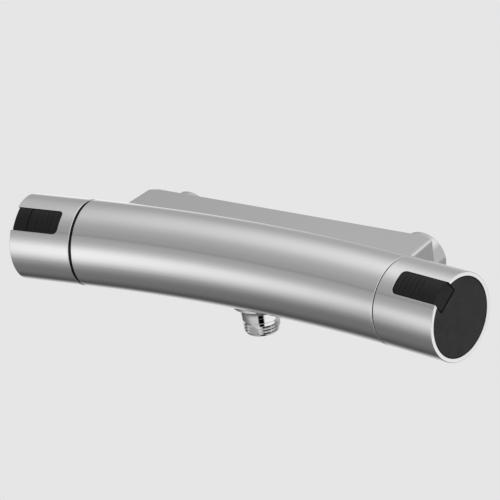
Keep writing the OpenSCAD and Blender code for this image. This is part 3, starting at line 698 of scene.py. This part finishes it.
class VALVE_OT_outlet(bpy.types.Operator):
    """Makes the hose outlet with its collar and screw thread"""

    bl_idname = "valve.outlet"
    bl_label = "Hose Outlet"

    def execute(self, context):
        sizes = context.scene.valve_sizes
        low, high = box_corners("outlet_nipple")
        place = upright("outlet_nipple")
        crest = mount_radius("hose_outlet")
        collar = sizes.collar_radius
        foot_bottom = BAR_END.z - BAR_RADIUS - sizes.foot_height
        collar_bottom = foot_bottom - sizes.collar_height
        ridge = sizes.thread_ridge
        root = crest - ridge + THREAD_SUNK
        bevel = sizes.collar_bevel
        groove = root - sizes.groove_depth
        groove_bottom = collar_bottom - sizes.collar_groove
        bore = sizes.outlet_bore
        shank = sizes.outlet_shank
        outline = rounded([
            (bore, low.z, SMALL_ROUND), (root, low.z, OUTLET_END_ROUND), (root, groove_bottom, GROOVE_ROUND),
            (groove, groove_bottom, 0), (groove, collar_bottom, 0),
            (collar - bevel, collar_bottom, BEVEL_ROUND), (collar, collar_bottom + bevel, FINE_ROUND),
            (collar, foot_bottom, FINE_ROUND), (shank, foot_bottom, 0),
            (shank, high.z, SMALL_ROUND), (bore, high.z, FINE_ROUND)], steps=4)
        core = turned("outlet_core", outline, along(place), OUTLET_SEGMENTS)
        smooth(core, angle=32)
        dress(core, "body", "polished_chrome", "outlet_nipple")
        start = low.z + ridge + THREAD_LEAD
        length = groove_bottom - THREAD_RELIEF - ridge - start
        thread = mesh_piece("outlet_thread", [], [])
        run_tree(thread, thread_tree(), {
            "Turns": length / sizes.thread_pitch, "Radius": crest - ridge, "Length": length,
            "Ridge": ridge, "Finish": finish("polished_chrome")})
        thread.data.transform(place @ Matrix.Translation((0, 0, start)))
        smooth(thread, angle=60)
        dress(thread, "body", "polished_chrome")
        return {"FINISHED"}


class VALVE_OT_nuts(bpy.types.Operator):
    """Makes the two round union nuts behind the cover"""

    bl_idname = "valve.nuts"
    bl_label = "Union Nuts"

    def execute(self, context):
        sizes = context.scene.valve_sizes
        for side in ("hot", "cold"):
            low, high = box_corners(side + "_union_nut")
            radius = (high.x - low.x) / 2
            start = -high.y
            end = -low.y
            bore = mount_radius("inlet_" + side)
            groove = bore + sizes.nut_relief
            inside = start + sizes.nut_thread
            outline = rounded([
                (bore, start, sizes.nut_mouth), (radius, start, sizes.nut_round),
                (radius, end, sizes.nut_round), (sizes.nut_neck, end, SMALL_ROUND),
                (sizes.nut_neck, sizes.nut_shoulder, 0), (groove, sizes.nut_shoulder, 0),
                (groove, inside, 0), (bore, inside, 0)])
            nut = turned(side + "_nut_skin", outline, along(off_wall(side + "_union_nut")), NUT_SEGMENTS)
            smooth(nut, angle=32)
            dress(nut, side + "_nut", "polished_chrome", side + "_union_nut")
        return {"FINISHED"}


class VALVE_OT_sleeves(bpy.types.Operator):
    """Makes both chrome handle sleeves with their slots"""

    bl_idname = "valve.sleeves"
    bl_label = "Handle Sleeves"

    def execute(self, context):
        sizes = context.scene.valve_sizes
        for name, matrix in handles():
            start = sizes.temp_gap if name == "temp" else sizes.flow_gap
            inner = BAR_RADIUS - sizes.sleeve_wall
            outline = rounded([
                (inner, start, FINE_ROUND), (BAR_RADIUS, start, sizes.end_round),
                (BAR_RADIUS, sizes.handle_length, SLEEVE_END_ROUND),
                (inner, sizes.handle_length, SMALL_ROUND)])
            sleeve = turned(name + "_sleeve_skin", outline, along(matrix), HANDLE_SEGMENTS)
            combine(sleeve, slot_tool(sizes, 0, matrix), "DIFFERENCE")
            soften(sleeve, sizes.slot_edge, angle=50)
            smooth(sleeve, angle=34)
            dress(sleeve, name + "_handle", "satin_chrome", name + "_sleeve")
        return {"FINISHED"}


class VALVE_OT_grips(bpy.types.Operator):
    """Makes both black grips with their ribs"""

    bl_idname = "valve.grips"
    bl_label = "Grips"

    def rib(self, sizes):
        """One rib: a round bar bent round the handle, drawn in at both ends."""
        half = sizes.slot_width / 2 - sizes.fit - RIB_MARGIN
        centre = BAR_RADIUS - sizes.grip_sunk + sizes.rib_height - sizes.rib_radius
        reach = math.asin(half / centre)
        points = []
        rings = []
        for i in range(RIB_STEPS + 1):
            share = math.cos(math.pi * i / RIB_STEPS)
            angle = reach * share
            thick = sizes.rib_radius * math.sqrt(max(RIB_TIP, 1 - abs(share) ** RIB_FULLNESS))
            ray = Vector((math.cos(angle), math.sin(angle), 0))
            ring = []
            for k in range(RIB_SIDES):
                turn = 2 * math.pi * k / RIB_SIDES
                ring.append(len(points))
                lift = Vector((0, 0, thick * math.sin(turn)))
                points.append(ray * (centre + thick * math.cos(turn)) + lift)
            rings.append(ring)
        faces = [[a[k], a[(k + 1) % RIB_SIDES], b[(k + 1) % RIB_SIDES], b[k]]
                 for a, b in zip(rings, rings[1:]) for k in range(RIB_SIDES)]
        faces += [rings[0], rings[-1]]
        return mesh_piece("rib", points, faces)

    def execute(self, context):
        sizes = context.scene.valve_sizes
        tree = rib_tree()
        for name, matrix in handles():
            inner = BAR_RADIUS - sizes.sleeve_wall + GRIP_LIFT
            top = BAR_RADIUS - sizes.grip_sunk
            end = sizes.handle_length - sizes.button_length - sizes.fit
            band = rectangle(inner, sizes.slot_start, top, end)
            pad = turned(name + "_grip_skin", band, along(matrix), HANDLE_SEGMENTS)
            combine(pad, slot_tool(sizes, sizes.fit, matrix), "INTERSECT")
            soften(pad, GRIP_ROUND, angle=50)
            smooth(pad, angle=34)
            dress(pad, name + "_handle", "grip_black", name + "_grip")
            ribs = self.rib(sizes)
            ribs.name = name + "_grip_ribs"
            run_tree(ribs, tree, {
                "Count": sizes.rib_count, "Step": (0, 0, sizes.rib_pitch), "Finish": finish("grip_black")})
            ribs.data.transform(matrix @ Matrix.Translation((0, 0, sizes.rib_first)))
            smooth(ribs, angle=60)
            dress(ribs, name + "_handle", "grip_black")
        return {"FINISHED"}


class VALVE_OT_buttons(bpy.types.Operator):
    """Makes both push buttons, which wrap over the handles' ends"""

    bl_idname = "valve.buttons"
    bl_label = "Push Buttons"

    def execute(self, context):
        sizes = context.scene.valve_sizes
        for name, matrix in handles():
            length = sizes.handle_length
            start = length - sizes.button_length
            floor = BAR_RADIUS - sizes.button_depth
            half = sizes.slot_width / 2 - sizes.fit
            slope = sizes.button_bevel / sizes.button_depth
            outline = [Vector(p) for p in (
                (floor, start), (BAR_RADIUS + PAST, start),
                (BAR_RADIUS + PAST, length - sizes.button_bevel - slope * PAST), (floor, length))]
            # The outline's x runs outwards, and its y along the handle
            turn = Matrix(((1, 0, 0, 0), (0, 0, -1, 0), (0, 1, 0, 0), (0, 0, 0, 1)))
            button = prism(name + "_button_skin", outline, -half, half, matrix @ turn)
            room = rectangle(0, start - MM, BAR_RADIUS, length + MM)
            combine(button, turned("barrel", room, along(matrix), HANDLE_SEGMENTS), "INTERSECT")
            soften(button, BUTTON_ROUND, segments=4, angle=30)
            smooth(button, angle=34)
            dress(button, name + "_push", "grip_black", name + "_button")
        return {"FINISHED"}


class VALVE_OT_caps(bpy.types.Operator):
    """Makes both dark end caps with the cut for the push button"""

    bl_idname = "valve.caps"
    bl_label = "End Caps"

    def execute(self, context):
        sizes = context.scene.valve_sizes
        for name, matrix in handles():
            length = sizes.handle_length
            radius = BAR_RADIUS - sizes.sleeve_wall - sizes.cap_gap
            base = length - sizes.cap_height
            chord = BAR_RADIUS - sizes.button_depth - sizes.button_travel - CAP_CLEARANCE
            half = sizes.slot_width / 2 + sizes.fit
            mouth = math.asin(half / radius)
            outline = [Vector((chord, -half)), Vector((chord, half))]
            for k in range(CAP_SEGMENTS + 1):
                angle = mouth + (2 * math.pi - 2 * mouth) * k / CAP_SEGMENTS
                outline.append(Vector((radius * math.cos(angle), radius * math.sin(angle))))
            cap = prism(name + "_cap_skin", outline, base, length - sizes.cap_sunk, matrix)
            soften(cap, sizes.cap_round, segments=4, angle=50)
            smooth(cap, angle=34)
            dress(cap, name + "_handle", "cap_grey", name + "_end_cap")
        return {"FINISHED"}


class VALVE_OT_inner(bpy.types.Operator):
    """Gives every inner piece of the valve its finish"""

    bl_idname = "valve.inner"
    bl_label = "Inner Pieces"

    def execute(self, context):
        slots = {part["node"]: part["material_slot"] for part in frame["record"]["subparts"]}
        for name, node in frame["nodes"].items():
            material = finish(slots[name])
            for slot in node.material_slots:
                slot.material = material
            if not node.material_slots:
                raise RuntimeError(f"{name} has no material slot")
        return {"FINISHED"}


# The tent's light round the bar, as (degrees above the level front, light): by the middle, and far left
LIGHT_NEAR = (
    (-150, 0.66), (-130, 0.64), (-118, 0.42), (-110, 0.19), (-101, 0.10), (-90, 0.14), (-76, 0.18),
    (-58, 0.22), (-46, 0.30), (-34, 0.48), (-22, 0.86), (-13, 1.06), (-4, 1.11), (5, 1.02), (14, 0.76),
    (23, 0.56), (32, 0.47), (38, 0.43), (41, 0.34), (44, 0.39), (62, 0.44), (74, 0.54), (86, 0.74),
    (96, 0.92), (110, 0.97), (122, 0.88), (134, 0.72), (148, 0.55), (168, 0.48), (182, 0.55), (196, 0.64))
LIGHT_FAR = (
    (-150, 0.85), (-130, 0.80), (-118, 0.58), (-110, 0.34), (-101, 0.13), (-92, 0.10), (-76, 0.18),
    (-58, 0.20), (-46, 0.25), (-34, 0.40), (-22, 0.55), (-13, 0.71), (-4, 0.79), (5, 0.74), (14, 0.59),
    (23, 0.49), (32, 0.44), (38, 0.40), (41, 0.34), (44, 0.38), (62, 0.47), (86, 0.54),
    (110, 0.60), (122, 0.59), (134, 0.54), (148, 0.475), (162, 0.45), (170, 0.46), (178, 0.66), (186, 0.92),
    (196, 1.05))

# The tent's light on the right, as (degrees round from the right, light), and its plain levels by height
LIGHT_SIDE = (
    (-180, 0.60), (-120, 0.60), (-82, 0.80), (-74, 0.70), (-68, 0.05), (-40, 0.05), (-34, 0.90),
    (-28, 1.05), (38, 1.00), (46, 0.45), (60, 0.40), (90, 0.46), (130, 0.60))
LIGHT_LEVEL = 0.58
LIGHT_ABOVE = 0.95
LIGHT_BELOW = 0.12

# Where the tent's light passes from one to the next, as shares of its radius: across, then by height
NEAR_DIRECTION = -0.48
FAR_DIRECTION = -0.64
SIDE_START = 0.1
SIDE_FULL = 0.3
LEVEL_START = -0.3
LEVEL_FULL = -0.18
ABOVE_START = 0.3
ABOVE_FULL = 0.5
BELOW_START = -0.55
BELOW_FULL = -0.75
TENT_RADIUS = 1.0
TENT_STRENGTH = 2.0

# The floor, and the camera as it was fitted to the photograph
FLOOR_HALF = 30
FLOOR_DROP = 0.62
CAMERA_PLACE = Vector((1.0274, -1.3780, 0.7951))
CAMERA_YAW = 0.66042
CAMERA_PITCH = 0.43607
CAMERA_ROLL = -0.13457
CAMERA_LENS = 238.2
CAMERA_FILM = 36
CAMERA_NEAR = 0.05
CAMERA_FAR = 100


class VALVE_OT_studio(bpy.types.Operator):
    """Sets up the floor, the light tent and the camera"""

    bl_idname = "valve.studio"
    bl_label = "Studio"

    def grey(self, level):
        """A level of light as the colour that gives it at the tent's strength."""
        return (*[level / TENT_STRENGTH] * 3, 1)

    def ramp(self, nodes, angle, levels):
        """A smooth curve of light over an angle. Stops sort themselves as they move, so levels come last."""
        start = levels[0][0]
        shifted = nodes.math("SUBTRACT", angle, math.radians(start))
        turns = nodes.math("DIVIDE", shifted, 2 * math.pi)
        ramp = nodes.add("ShaderNodeValToRGB")
        ramp.color_ramp.interpolation = "CARDINAL"
        elements = ramp.color_ramp.elements
        while len(elements) < len(levels):
            elements.new(0.5)
        for element, (stop, _) in zip(elements, levels):
            element.position = (stop - start) / 360
        for element, (_, level) in zip(elements, levels):
            element.color = self.grey(level)
        nodes.join(nodes.math("FRACT", turns), ramp.inputs["Fac"])
        return ramp.outputs["Color"]

    def blend(self, nodes, value, low, high, first, second):
        """Passes from the first light to the second while the value goes from low to high."""
        share = nodes.add("ShaderNodeMapRange")
        share.inputs["From Min"].default_value = low
        share.inputs["From Max"].default_value = high
        nodes.join(value, share.inputs["Value"])
        mixed = nodes.add("ShaderNodeMix", data_type="RGBA")
        nodes.join(share.outputs["Result"], mixed.inputs["Factor"])
        nodes.join(first, mixed.inputs["A"])
        nodes.join(second, mixed.inputs["B"])
        return mixed.outputs["Result"]

    def tent(self):
        """A round tent of graded light that the camera doesn't see and that casts no shadow."""
        shape = bmesh.new()
        bmesh.ops.create_icosphere(shape, subdivisions=4, radius=TENT_RADIUS)
        mesh = bpy.data.meshes.new("light_tent")
        shape.to_mesh(mesh)
        shape.free()
        mesh.transform(Matrix.Translation(BAR_MIDDLE))
        tent = link_mesh("light_tent", mesh)
        material = bpy.data.materials.new("tent_light")
        material.use_nodes = True
        nodes = Nodes(material.node_tree)
        material.node_tree.nodes.clear()
        place = nodes.add("ShaderNodeTexCoord")
        centred = nodes.add("ShaderNodeMapping")
        centred.inputs["Location"].default_value = -BAR_MIDDLE / TENT_RADIUS
        centred.inputs["Scale"].default_value = [1 / TENT_RADIUS] * 3
        nodes.join(place.outputs["Object"], centred.inputs["Vector"])
        parts = nodes.add("ShaderNodeSeparateXYZ")
        nodes.join(centred.outputs["Vector"], parts.inputs["Vector"])
        forward = nodes.math("MULTIPLY", parts.outputs["Y"], -1.0)
        height = nodes.math("ARCTAN2", parts.outputs["Z"], forward)
        near = self.ramp(nodes, height, LIGHT_NEAR)
        far = self.ramp(nodes, height, LIGHT_FAR)
        mixed = self.blend(nodes, parts.outputs["X"], NEAR_DIRECTION, FAR_DIRECTION, near, far)
        swing = nodes.math("ARCTAN2", parts.outputs["Y"], parts.outputs["X"])
        side = self.ramp(nodes, swing, LIGHT_SIDE)
        for level, start, full in (
                (LIGHT_LEVEL, LEVEL_START, LEVEL_FULL), (LIGHT_ABOVE, ABOVE_START, ABOVE_FULL),
                (LIGHT_BELOW, BELOW_START, BELOW_FULL)):
            plain = nodes.add("ShaderNodeRGB")
            plain.outputs["Color"].default_value = self.grey(level)
            side = self.blend(nodes, parts.outputs["Z"], start, full, side, plain.outputs["Color"])
        whole = self.blend(nodes, parts.outputs["X"], SIDE_START, SIDE_FULL, mixed, side)
        glow = nodes.add("ShaderNodeEmission")
        glow.inputs["Strength"].default_value = TENT_STRENGTH
        nodes.join(whole, glow.inputs["Color"])
        output = nodes.add("ShaderNodeOutputMaterial")
        nodes.join(glow.outputs["Emission"], output.inputs["Surface"])
        tent.data.materials.append(material)
        tent.visible_camera = False
        tent.visible_shadow = False

    def floor(self, colour):
        """A plain pale floor, well below the valve. The camera sees its colour without shading."""
        half = FLOOR_HALF
        level = BAR_MIDDLE.z - FLOOR_DROP
        places = [(-half, -half, level), (half, -half, level), (half, half, level), (-half, half, level)]
        floor = mesh_piece("floor", places, [[0, 1, 2, 3]])
        material = bpy.data.materials.new("pale_floor")
        material.use_nodes = True
        nodes = Nodes(material.node_tree)
        material.node_tree.nodes.clear()
        ray = nodes.add("ShaderNodeLightPath")
        matt = nodes.add("ShaderNodeBsdfDiffuse")
        matt.inputs["Color"].default_value = (*colour, 1)
        pale = nodes.add("ShaderNodeEmission")
        pale.inputs["Color"].default_value = (*colour, 1)
        mix = nodes.add("ShaderNodeMixShader")
        output = nodes.add("ShaderNodeOutputMaterial")
        nodes.join(ray.outputs["Is Camera Ray"], mix.inputs["Fac"])
        nodes.join(matt.outputs["BSDF"], mix.inputs[1])
        nodes.join(pale.outputs["Emission"], mix.inputs[2])
        nodes.join(mix.outputs["Shader"], output.inputs["Surface"])
        floor.data.materials.append(material)
        floor.visible_glossy = False

    def camera(self, scene):
        """The camera at the photograph's angle."""
        ahead = Vector((-math.sin(CAMERA_YAW) * math.cos(CAMERA_PITCH),
                        math.cos(CAMERA_YAW) * math.cos(CAMERA_PITCH), -math.sin(CAMERA_PITCH)))
        right = ahead.cross(Vector((0, 0, 1))).normalized()
        up = right.cross(ahead)
        across = right * math.cos(CAMERA_ROLL) + up * math.sin(CAMERA_ROLL)
        upward = up * math.cos(CAMERA_ROLL) - right * math.sin(CAMERA_ROLL)
        lens = bpy.data.cameras.new("camera")
        lens.lens = CAMERA_LENS
        lens.sensor_width = CAMERA_FILM
        lens.clip_start = CAMERA_NEAR
        lens.clip_end = CAMERA_FAR
        camera = bpy.data.objects.new("camera", lens)
        scene.collection.objects.link(camera)
        turn = Matrix((across, upward, -ahead)).transposed().to_4x4()
        camera.matrix_world = Matrix.Translation(CAMERA_PLACE) @ turn
        scene.camera = camera

    def execute(self, context):
        scene = context.scene
        colour = tuple(scene.valve_colours.ground)
        world = bpy.data.worlds.new("studio")
        world.use_nodes = True
        world.node_tree.nodes["Background"].inputs["Color"].default_value = (*colour, 1)
        scene.world = world
        self.tent()
        self.floor(colour)
        self.camera(scene)
        scene.view_settings.view_transform = "Standard"
        return {"FINISHED"}


class VALVE_PT_panel(bpy.types.Panel):
    """Lists the valve's pieces, sizes and colours"""

    bl_idname = "VALVE_PT_panel"
    bl_label = "Shower Valve"
    bl_space_type = "VIEW_3D"
    bl_region_type = "UI"
    bl_category = "Shower Valve"

    def draw(self, context):
        layout = self.layout
        for step in STEPS:
            layout.operator(step.bl_idname)
        for group in (context.scene.valve_sizes, context.scene.valve_colours):
            box = layout.box()
            for name in group.__annotations__:
                box.prop(group, name)


STEPS = (VALVE_OT_inner, VALVE_OT_bar, VALVE_OT_cover, VALVE_OT_outlet, VALVE_OT_nuts, VALVE_OT_sleeves,
         VALVE_OT_grips, VALVE_OT_buttons, VALVE_OT_caps, VALVE_OT_studio)
CLASSES = (ValveSizes, ValveColours) + STEPS + (VALVE_PT_panel,)


def register():
    """Registers the classes and the two groups of properties."""
    for cls in CLASSES:
        bpy.utils.register_class(cls)
    bpy.types.Scene.valve_sizes = bpy.props.PointerProperty(type=ValveSizes)
    bpy.types.Scene.valve_colours = bpy.props.PointerProperty(type=ValveColours)


def unregister():
    """Removes the two groups of properties and the classes."""
    del bpy.types.Scene.valve_colours
    del bpy.types.Scene.valve_sizes
    for cls in reversed(CLASSES):
        bpy.utils.unregister_class(cls)


def main():
    """Runs every step in order."""
    register()
    for step in STEPS:
        group, name = step.bl_idname.split(".")
        getattr(getattr(bpy.ops, group), name)()


if __name__ == "__main__":
    main()
